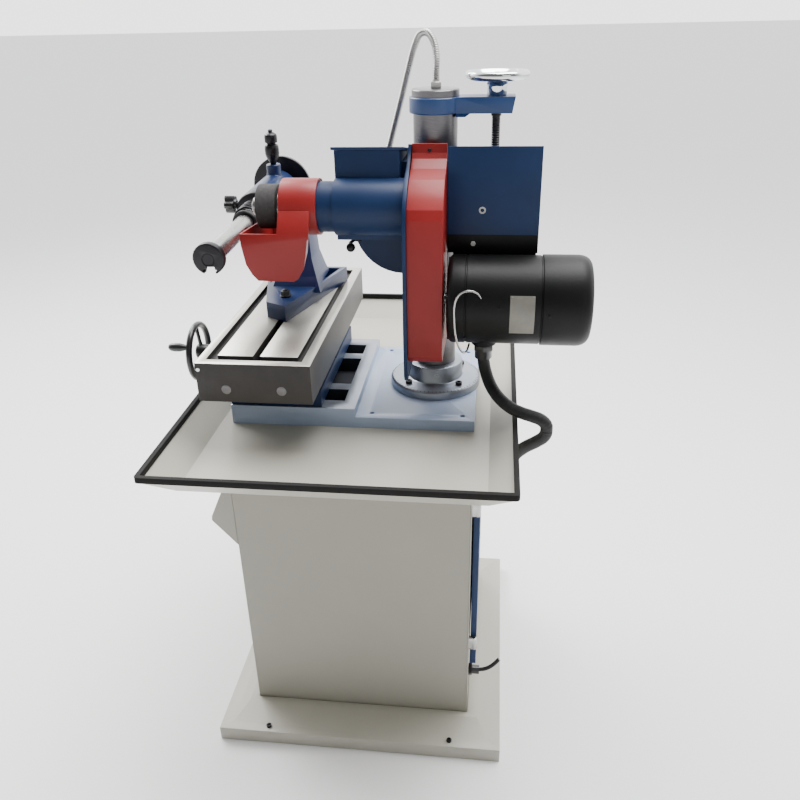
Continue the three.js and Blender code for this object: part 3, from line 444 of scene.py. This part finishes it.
# ------------------------------------------------------------------ base, cabinet, tray
refine("base_pan", bevel=2.2, seg=3)
for i, (x, y) in enumerate([(300.5, -194), (300.5, 194), (-300.5, -194), (-300.5, 194)]):
    socket_screw("foot_bolt_%d" % i, "z", (x, y), 33.4, 38.5, 5.5, "machine_base")
# The cabinet walls and console take the darker cream, which is painted shade; the paint is the same as the tray's.
refine("cabinet_wrap", "cream_painted_shade", bevel=2.4, seg=3)
refine("cabinet_rear_frame", bevel=0.5)
refine("control_console", "cream_painted_shade", bevel=1.2, seg=2)
refine("rear_door", bevel=1.4, seg=3)
refine("door_hinge_upper", bevel=0.6)
refine("door_hinge_lower", bevel=0.6)
refine("door_latch", bevel=0.6)
for i, (z0, z1) in enumerate(((558, 587), (226, 255))):
    lathe("hinge_pin_%d" % i, "z", (226.5, 240), [(0, z0 - 0.0), (2.6, z0), (2.6, z1), (0, z1)], "blackened_steel", "machine_base", n=20)
for node, (cx, cz), hexr, body_r, y1 in (("conduit_gland_cabinet", (200, 598), 17, 15, 250), ("mains_gland", (205, 145), 13, 9.5, 252)):
    refine(node, bevel=0.7)
refine("chip_tray", bevel=1.6, seg=2)
bead = []
for sx in (-1, 1):
    for sy in (-1, 1):
        line = [[sx * (402.0 + 41.0 * t), sy * (256.0 + 41.6 * t), 707.2 + 37.2 * t] for t in np.linspace(0, 1, 24)]
        rad = [1.5 + 0.35 * noise.noise(Vector((t * 9, sx, sy))) for t in np.linspace(0, 1, 24)]
        bead.append(tube("bead", line, rad, "cream_sheet", "machine_base", 10))
merge(bead, "tray_corner_welds")
refine("tray_trim", bevel=2.6, seg=3)
for name in ("start_button", "stop_button", "emergency_stop"):
    refine(name, bevel=0.7)


# bed: painted casting with its ways and pads machined bright; the insides of its pockets are painted near black as
# painted shade
def bed_rule(c, n):
    if n.z > 0.9 and c.z > 744:
        return 1
    inside = any(x0 - 0.6 <= c.x <= x1 + 0.6 and y0 - 0.6 <= c.y <= y1 + 0.6 for x0, x1, y0, y1 in
                 ((-136, -88, -200, -20), (-62, 62, -212, -20), (88, 136, -200, -20)))
    # Faces inside the pockets get the near-black colour: painted shade.
    return 2 if inside and c.z < 742 else 0


refine("bed_casting", bevel=1.4, rule=bed_rule, extra=["ring_iron", "pocket_painted_shade"])
FL = (0, 143.5)
fl = lathe("column_ring", "z", FL, [(39.3, 728.3), (90, 728.3), (90, 741), (89, 743), (86, 745), (58, 745), (55, 746.5), (54, 749), (54, 776), (53, 778), (50.5, 779), (39.3, 779)], "ring_iron", "machine_base", n=96)
take(fl, "column_flange")
ticks = []
for k in range(72):
    a = 2 * math.pi * k / 72
    ln = 7 if k % 6 == 0 else 4.2
    p0 = Vector((FL[0] + 88.6 * math.cos(a), FL[1] + 88.6 * math.sin(a), 743.45))
    p1 = Vector((FL[0] + (88.6 - ln) * math.cos(a), FL[1] + (88.6 - ln) * math.sin(a), 745.12 if ln > 5 else 745.05))
    ticks.append(tube("t", [p0, (p0 + p1) / 2 + Vector((0, 0, 0.6)), p1], 0.35, "mark_dark", "machine_base", 4))
merge(ticks, "column_scale")
for i, a in enumerate((45, 135, 225, 315)):
    ang = math.radians(a)
    socket_screw("flange_screw_%d" % i, "z", (70 * math.cos(ang), 143.5 + 70 * math.sin(ang)), 744.8, 751, 6.5, "machine_base")
refine("cross_feed_nut", bevel=0.8)

# ------------------------------------------------------------------ saddle, handwheel, table
refine("saddle", bevel=1.6, seg=2)
sc = lathe("cross_screw", "y", (10, 784), [(0, -345), (6.4, -345), (7, -344), (7, -246), (11, -246), (11, -233.4), (7, -233.4), (7, -71), (6, -70), (0, -70)], "thread_y", "cross_feed_screw", n=32)
take(sc, "cross_feed_screw")
HX, HZ = 10, 784
parts = [lathe("rim", "y", (HX, HZ), [(55.5 + 6.4 * math.cos(t), -347 + 6.4 * math.sin(t)) for t in (2 * math.pi * k / 20 for k in range(20))], "black_plastic", "cross_feed_screw", n=80)]
parts.append(lathe("hub", "y", (HX, HZ), [(7.3, -350), (13, -350), (15, -348), (15, -328), (13.5, -325), (7.3, -325)], "blackened_steel", "cross_feed_screw", n=40))
for a in (90, 210, 330):
    ca, sa = math.cos(math.radians(a)), math.sin(math.radians(a))
    ln = [[HX + q * ca, -341 - 5 * ((q - 10) / 44), HZ + q * sa] for q in np.linspace(11, 54, 10)]
    parts.append(tube("spoke", ln, [4.5 - 0.9 * math.sin(math.pi * (q - 11) / 43) for q in np.linspace(11, 54, 10)], "chrome_wheel", "cross_feed_screw", 16))
parts.append(lathe("grip", "y", (HX + 48, HZ + 28), [(0, -389.8), (3.5, -389.2), (6, -387), (7.8, -383), (8.9, -376), (8.7, -366), (7, -358), (5.6, -353), (5, -350), (0, -350)], "black_plastic", "cross_feed_screw", n=32))
hw = merge(parts, "cross_handwheel_look")
take(hw, "cross_handwheel")


def table_rule(c, n):
    if n.z > 0.9 and c.z > 877.5:
        return 0
    if abs(n.x) > 0.9 and abs(c.x) > 273:
        return 2
    # Faces inside the channel and T-slot get the dark groove colour: painted shade.
    if c.z > 848 and abs(c.x) < 262 and -235 < c.y < -64:
        return 3
    return 1


refine("table", "table_iron", bevel=0.8, rule=table_rule, extra=["table_side", "table_end", "table_groove_painted_shade"])
for i, y in enumerate((-197.5, -100)):
    lathe("table_plug_%d" % i, "x", (y, 830), [(0, 274.0), (8.5, 274.0), (8.5, 275.3), (7.7, 275.6), (0, 275.55)], "column_steel", "table", n=32)
lathe("table_stop_pin", "x", (-243.5, 866), [(0, 272), (3.6, 272), (3.6, 275.2), (3, 275.6), (0, 275.6)], "chrome_wheel", "table", n=24)

# ------------------------------------------------------------------ workhead
refine("workhead_base", bevel=2.4, seg=3)
for node, x in (("workhead_bolt_near", 20), ("workhead_bolt_far", -166.5)):
    refine(node, "blackened_steel", bevel=0.6)
refine("workhead_housing", bevel=1.6, seg=3)
W = (-204, 1069)
PIVOT = Vector((-0.100, 0, 1.069))
LEAN = Matrix.Translation(PIVOT) @ Matrix.Rotation(math.radians(2.1), 4, "Y") @ Matrix.Translation(-PIVOT)


def leant(ob):
    """The workhead leans about its pivot, so its turned pieces are made level and leant."""
    ob.data.transform(LEAN)
    return ob


col = leant(lathe("collar", "x", W, rounded([(17, -44.6), (38, -44.6), (38, -20), (35, -16), (17, -16)], 1.2), "blackened_steel", "workhead", n=72))
take(col, "spindle_collar")
refine("thumb_screw", bevel=1.4, seg=3)
pl = leant(lathe("plunger", "z", (-174, -204), [(0, 1090.5), (6, 1090.5), (6, 1126.7), (6.5, 1129.3), (9, 1133.3), (11.5, 1137.3), (13.6, 1142.3), (14.5, 1147.3), (14.5, 1157.3), (14, 1161.3), (12.5, 1164.3), (9, 1166.3), (8.6, 1167.3), (12.5, 1169.3), (12.9, 1173.3), (12.9, 1181.3), (12, 1184.8), (8, 1187.8), (5, 1188.8), (4.4, 1190.3), (4.5, 1193.3), (3, 1194.7), (0, 1194.8)], "blackened_steel", "index_plunger", n=48))
take(pl, "index_plunger")
sp = leant(lathe("work_spindle", "x", W, rounded([(0, -252), (12, -252), (12, -222), (19.6, -222), (19.6, -46), (16.3, -46), (16.3, 243), (10, 243), (10, 256), (0, 256)], 0.6), "machined_steel", "workhead_spindle", n=56,
                  mats=["machined_steel", "blackened_steel"], pick=lambda i: 1 if i >= 12 else 0))
take(sp, "workhead_spindle")
coil = [[-11.5 + 57 * t, W[0] + 24 * math.cos(t * 10 * math.pi), W[1] + 24 * math.sin(t * 10 * math.pi)] for t in np.linspace(0, 1, 260)]
take(leant(tube("return_spring", coil, 2.3, "blackened_steel", "workhead_spindle", 12)), "spindle_spring")
fla = leant(lathe("thrust_flange", "x", W, [(16.6, 49), (20, 49), (22.4, 50.4), (23, 51.6), (23, 56.3), (21.5, 58), (16.6, 58)], "blackened_steel", "workhead_spindle", n=64))
take(fla, "spindle_flange")
refine("spindle_end_disc", bevel=0.9, seg=2, smooth=34)
leant(lathe("end_plug", "x", W, [(0, 255.5), (9.9, 255.5), (9.9, 261.2), (9.4, 261.7), (0, 261.7)], "blackened_steel", "workhead_spindle", n=48))
dial = lathe("dial", "x", W, [(12.3, -246), (24, -246), (25, -245), (25, -239), (53, -238), (58.5, -236.6), (61.2, -235), (62, -233), (62, -226), (61, -225), (12.3, -225)], "blackened_steel", "workhead_spindle", n=96)
ticks = []
for k in range(60):
    a = 2 * math.pi * k / 60
    x1 = -226.4 if k % 5 else -225.6
    y, z = W[0] + 61.75 * math.cos(a), W[1] + 61.75 * math.sin(a)
    ticks.append(tube("t", [[-232.5, y, z], [(-232.5 + x1) / 2, y, z], [x1 - 1.2, y, z]], 0.25, "mark", "workhead_spindle", 4))
dial = leant(merge([dial, *ticks], "dial_look"))
take(dial, "index_dial")

# ------------------------------------------------------------------ column, arm, lamp
cl = lathe("column_look", "z", FL, [(0, 728.6), (39, 728.6), (39, 1273.9), (41.5, 1273.9), (41.5, 1284.3), (40.4, 1285.6), (39, 1286), (0, 1286)], "column_steel", "column", n=96)
take(cl, "column")
refine("top_arm", "arm_blue", bevel=1.4, seg=3)
es = lathe("lift_screw", "z", (0, 249), [(0, 1002), (6.6, 1002), (7.3, 1003), (7.3, 1241), (9, 1241), (9, 1246.6), (7.3, 1246.6), (7.3, 1299.5), (6.6, 1300.5), (0, 1300.5)], "thread", "elevating_screw", n=40)
take(es, "elevating_screw")
wheel = lathe("lift_wheel", "z", (0, 249), [(7.6, 1274), (16, 1274), (17, 1275), (17, 1287.5), (18, 1291), (20.5, 1293.9), (25, 1296.1), (30, 1297.5), (36, 1298.9), (42, 1299.5), (46, 1298.9), (49.5, 1299.3), (53, 1301.9), (54.8, 1305.5), (54.9, 1308.5), (53.6, 1311.5), (51, 1313.3), (48.5, 1313.4), (46, 1311.9), (43.4, 1308.9), (38, 1306.5), (30, 1304.8), (22, 1303.7), (17.4, 1303.7), (16.6, 1306.1), (15, 1306.5), (7.6, 1306.5)], "chrome_wheel", "elevating_screw", n=96, smooth=60)
nut = lathe("lift_wheel_nut", "z", (0, 249), [(0, 1300.5), (10.5, 1300.5), (10.5, 1307.7), (9.5, 1308.7), (5.6, 1308.7), (5, 1311), (0, 1311.5)], "machined_steel", "elevating_screw", n=6, smooth=20)
wheel = merge([wheel, nut], "lift_wheel_look")
take(wheel, "elevating_handwheel")
NECK = [[-2, 144.5, 1291], [-2, 144.5, 1311], [-4, 145, 1334], [-10, 140, 1358], [-20, 129, 1372], [-33, 115, 1370], [-48, 103, 1350], [-63, 90, 1312], [-78, 76, 1266], [-93, 60, 1215], [-106, 46, 1170], [-114, 37, 1142]]
line, radii, _ = ribbed(NECK, 5.3, 6.2, 3.6)
neck = tube("neck", line, radii, "flex_steel", "column", 20)
base = lathe("neck_base", "z", (-2, 144.5), [(0, 1286.3), (10, 1286.3), (10, 1295.8), (9, 1297), (6.4, 1297), (6.4, 1300), (0, 1300)], "machined_steel", "column", n=6, smooth=20)
neck = merge([neck, base], "lamp_neck_look")
take(neck, "lamp_gooseneck")
axis = Vector((0.18, -0.42, -0.89)).normalized()
turn = Vector((0, 0, -1)).rotation_difference(axis).to_matrix().to_4x4()
lamp = lathe("shade", "z", (0, 0), [(0, 0), (9.5, 0), (11, -1), (12.4, -4), (13.4, -9), (16, -26), (19, -36), (23, -45), (25, -50), (25, -56.4), (24.2, -57.6), (22.4, -57.6), (22, -56.6), (0, -56.2)], "black_enamel", None, n=64, mats=["black_enamel", "lamp_lens"], pick=lambda i: 1 if i >= 12 else 0)
lamp.data.transform(Matrix.Translation(Vector((-0.115, 0.0358, 1.1385))) @ turn)
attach(lamp, "column")
take(lamp, "lamp_head")

# ------------------------------------------------------------------ grinding head
refine("head_casting", bevel=2.6, seg=3)
refine("head_lid", bevel=1.0)
# The blue side cover's band below z 1058 takes black enamel: painted shade along its lower edge, not a second finish.
refine("head_side_cover", bevel=1.4, seg=2, split=1058, rule=lambda c, n: 1 if c.z < 1058 else 0, extra=["black_enamel"])
socket_screw("cover_screw", "x", (231, 1100), 99.0, 101.2, 6.0, "wheelhead", "zinc")
hexbolt = lathe("bracket_bolt", "x", (216.5, 1042), [(0, 99.6), (4.6, 99.6), (4.6, 101.0), (4.2, 101.4), (0, 101.4)], "zinc", "wheelhead", n=6, smooth=20)
for i, (x, y) in enumerate([(-38, -16), (93, -16), (-38, 88), (93, 88)]):
    zt = 1205.2 - (104 - x) * 0.17
    socket_screw("lid_screw_%d" % i, "z", (x, y), zt - 2.4, zt - 0.4, 4.2, "wheelhead", "blackened_steel")
A = (105, 1106)
q = lathe("quill", "y", A, [(31.3, -50), (42, -50), (43, -49), (43, -20), (41.6, -18.6), (41.6, 96), (41, 98), (31.3, 98), (31.3, 70), (25, 70), (25, -24), (31.3, -24)], "blue_paint", "wheelhead", n=80)
take(q, "quill_housing")
for node, y0, y1 in (("front_bearing", -46, -24.3), ("rear_bearing", 70.3, 92)):
    b_ = lathe(node + "_look", "y", A, rounded([(19.3, y0), (24, y0), (24.5, y0 + 1), (27, y0 + 1), (27.5, y0), (31, y0), (31, y1), (19.3, y1)], 0.4), "machined_steel", "wheelhead", n=56)
    take(b_, node)
sp = lathe("grinding_spindle", "y", A, rounded([(0, -169), (9, -169), (9, -166), (15, -166), (15, -158), (12.7, -158), (12.7, -120), (27, -120), (27, -115), (17, -113), (17, -48), (19, -48), (19, 94), (16, 94), (16, 119), (27, 119), (27, 121.5), (24, 122), (24, 148), (27, 148.5), (27, 151), (14, 151), (14, 156), (0, 156)], 0.5), "machined_steel", "wheel_spindle", n=56)
take(sp, "wheel_spindle")
gw = lathe("abrasive_wheel", "y", A, rounded([(13, -157.7), (30, -157.7), (32, -155.5), (37, -155.5), (38, -154), (38, -122), (37, -120.3), (13, -120.3)], 0.5), "grit", "wheel_spindle", n=72)
take(gw, "grinding_wheel")
refine("wheel_guard", bevel=0.9, seg=2)
refine("belt_guard_plate", bevel=1.0)
refine("belt_guard_cover", bevel=3.2, seg=4, smooth=12)
tube("cover_top_screw", [[67.0, 138.6, 1193.8], [68.3, 138.6, 1194.0], [69.0, 138.6, 1194.1]], [3.2, 3.2, 2.4], "blackened_steel", "wheelhead", 16)
for i, (x, z) in enumerate([(150, 1100), (150, 870), (75, 870), (75, 1160)]):
    socket_screw("belt_screw_%d" % i, "y", (x, z), 168.0, 168.65, 4.2, "wheelhead")
refine("drive_belt", bevel=0.8)
refine("motor_pulley", bevel=0.6)

# ------------------------------------------------------------------ motor
MC = (130, 952)
body = lathe("motor_shell", "y", MC, [(9.8, 175), (24, 175), (26, 176.5), (44, 176.5), (60, 175.2), (68, 176.6), (73, 179), (76, 182), (77, 186), (77, 206), (75.6, 207), (75.6, 209), (77, 210), (77, 334), (75.5, 335), (75.5, 336.6),
                                      (78.2, 337.4), (78.5, 339), (78.5, 398), (77.8, 404), (75.6, 410.5), (72, 415.4), (67, 418.8), (62, 420), (56, 420), (54.6, 417.6), (48, 417.6), (46.8, 420), (42, 420), (40.6, 417.6), (34, 417.6), (32.8, 420), (28, 420), (26.6, 417.6), (20, 417.6), (18.8, 420), (9.8, 420), (9.8, 419)],
            "black_enamel", "wheelhead", n=96, smooth=40)
fill = lathe("motor_cap", "y", MC, [(0, 214), (10.2, 214), (10.2, 420), (0, 420)], "black_enamel", "wheelhead", n=40)
bracket = boxes("bracket", [[30, 97.6, 181.5, 325.6, 1012, 1055.7]], "black_enamel", "wheelhead", 2.0, 3)
boss = lathe("boss", "z", (130, 240), [(0, 868), (20.5, 868), (22, 869.5), (22, 890), (0, 890)], "black_enamel", "wheelhead", n=48)
ears = [socket_screw("bell", "y", (130 + 68 * math.cos(a), 952 + 68 * math.sin(a)), 178.4, 175.4, 4.2, "wheelhead") for a in (math.radians(v) for v in (20, 110, 200, 290))]


def shell_screw(y, t, rad, mat):
    """Screw head standing off the motor's round shell at the angle t."""
    lift = 78.5 if y > 337 else 77.0
    p = np.array([130 + (lift - 0.6) * math.cos(t), y, 952 + (lift - 0.6) * math.sin(t)])
    n_ = np.array([math.cos(t), 0, math.sin(t)])
    return tube("shell_screw", [p, p + n_ * 0.6, p + n_ * 1.2, p + n_ * 1.7], [rad, rad, rad, rad * 0.7], mat, "wheelhead", 16)


heads = [shell_screw(y, t, r_, "zinc") for y, t, r_ in ((265, 0.147, 3.0), (347.5, -0.015, 3.4), (207.8, -0.72, 2.8))]
motor = merge([body, fill, bracket, boss, *ears, *heads], "motor_look")
take(motor, "motor_body")
# blank nameplate, curved to the shell, with its four rivets
bm = bmesh.new()
rows = []
for y in np.linspace(282.5, 323.5, 7):
    rows.append([(bm.verts.new(Vector((130 + 77.5 * math.cos(t), y, 952 + 77.5 * math.sin(t))) / 1000), bm.verts.new(Vector((130 + 76.6 * math.cos(t), y, 952 + 76.6 * math.sin(t))) / 1000)) for t in np.linspace(-0.485, 0.415, 10)])
for a, b in zip(rows, rows[1:]):
    for k in range(9):
        bm.faces.new((a[k][0], a[k + 1][0], b[k + 1][0], b[k][0]))
        bm.faces.new((a[k][1], b[k][1], b[k + 1][1], a[k + 1][1]))
for k in range(9):
    bm.faces.new((rows[0][k][0], rows[0][k][1], rows[0][k + 1][1], rows[0][k + 1][0]))
    bm.faces.new((rows[-1][k][0], rows[-1][k + 1][0], rows[-1][k + 1][1], rows[-1][k][1]))
for a, b in zip(rows, rows[1:]):
    bm.faces.new((a[0][0], b[0][0], b[0][1], a[0][1]))
    bm.faces.new((a[-1][0], a[-1][1], b[-1][1], b[-1][0]))
bmesh.ops.recalc_face_normals(bm, faces=bm.faces)
plate = finish_mesh("motor_plate", bm, ["plate"], "wheelhead")
riv = []
for y in (285.5, 320.5):
    for t in (-0.45, 0.38):
        p = np.array([130 + 77.3 * math.cos(t), y, 952 + 77.3 * math.sin(t)])
        n_ = np.array([math.cos(t), 0, math.sin(t)])
        riv.append(tube("rivet", [p, p + n_ * 0.4, p + n_ * 0.8], [1.3, 1.2, 0.5], "machined_steel", "wheelhead", 12))
merge([plate, *riv], "motor_plate")
refine("conduit_gland_motor", bevel=0.8)
EARTH = [[203.3, 234, 979], [209, 229, 988], [212, 219, 993.5], [212, 206, 992], [211, 195, 982], [210.5, 190.5, 965], [210, 190.5, 942], [208, 192.5, 915], [201, 198, 890], [190, 205, 875], [176, 211, 871], [166, 214, 877], [161, 215, 879]]
line, _ = catmull(EARTH, 120)
take(tube("earth_lead", line, 1.8, "flex_steel", "wheelhead", 12), "earth_wire")
lev = [lathe("lv", "z", (70, 8), [(0, 1037), (7, 1037), (8, 1038), (8, 1048.7), (7, 1049.7), (0, 1049.7)], "blackened_steel", "head_lock_lever", n=32)]
lev.append(tube("arm", [[70 + 40 * t, 8 - 6 * t, 1043.5 + 0.5 * t] for t in np.linspace(0, 1, 8)], 3.0, "machined_steel", "head_lock_lever", 16))
lev.append(lathe("stalk", "z", (110, 2), [(0, 1037), (3, 1037), (3, 1045.5), (0, 1045.5)], "machined_steel", "head_lock_lever", n=16))
lev.append(lathe("ball", "z", (110, 2), [(8 * math.sin(t), 1035.5 - 8 * math.cos(t)) for t in np.linspace(0, math.pi, 17)], "black_plastic", "head_lock_lever", n=32))
take(merge(lev, "lock_lever_look"), "head_lock_lever")

# anything that keeps its CAD shape still gets its finish
for n, o in NODES.items():
    if n not in done:
        o.data.materials.clear()
        o.data.materials.append(MAT[SLOT[n]])

# ------------------------------------------------------------------ floor and light
bm = bmesh.new()
bmesh.ops.create_grid(bm, x_segments=2, y_segments=2, size=60)
floor = finish_mesh("floor", bm, ["mark"], None)
fm = bpy.data.materials.new("floor")
fm.use_nodes = True
fm.node_tree.nodes["Principled BSDF"].inputs["Base Color"].default_value = (0.93, 0.93, 0.93, 1)
fm.node_tree.nodes["Principled BSDF"].inputs["Roughness"].default_value = 0.8
floor.data.materials.clear()
floor.data.materials.append(fm)
world = bpy.data.worlds.new("studio")
world.use_nodes = True
world.node_tree.nodes["Background"].inputs["Color"].default_value = (1, 1, 1, 1)
# a bright backdrop behind the machine, a dimmer room behind the camera
wt = world.node_tree
wc = wt.nodes.new("ShaderNodeTexCoord")
ws = wt.nodes.new("ShaderNodeSeparateXYZ")
wm = wt.nodes.new("ShaderNodeMapRange")
wm.interpolation_type = "SMOOTHSTEP"
wm.inputs["From Min"].default_value = -0.35
wm.inputs["From Max"].default_value = 0.45
wm.inputs["To Min"].default_value = 2.8
wm.inputs["To Max"].default_value = 0.21
wt.links.new(wc.outputs["Generated"], ws.inputs["Vector"])
wt.links.new(ws.outputs["X"], wm.inputs["Value"])
wt.links.new(wm.outputs["Result"], wt.nodes["Background"].inputs["Strength"])
bpy.context.scene.world = world


def area(name, loc, target, size, power, colour=(1, 1, 1)):
    data = bpy.data.lights.new(name, "AREA")
    data.size = size
    data.energy = power
    data.color = colour
    ob = bpy.data.objects.new(name, data)
    ob.location = loc
    ob.rotation_euler = (Vector(target) - Vector(loc)).to_track_quat("-Z", "Y").to_euler()
    bpy.context.scene.collection.objects.link(ob)


area("back_left", (-1.6, -2.0, 2.9), (0, 0, 0.8), 1.6, 110)
area("top", (-0.4, 0.6, 3.4), (0, 0, 0.9), 1.8, 145)
area("near_right", (2.6, 1.9, 2.1), (0, 0, 0.9), 1.6, 10)
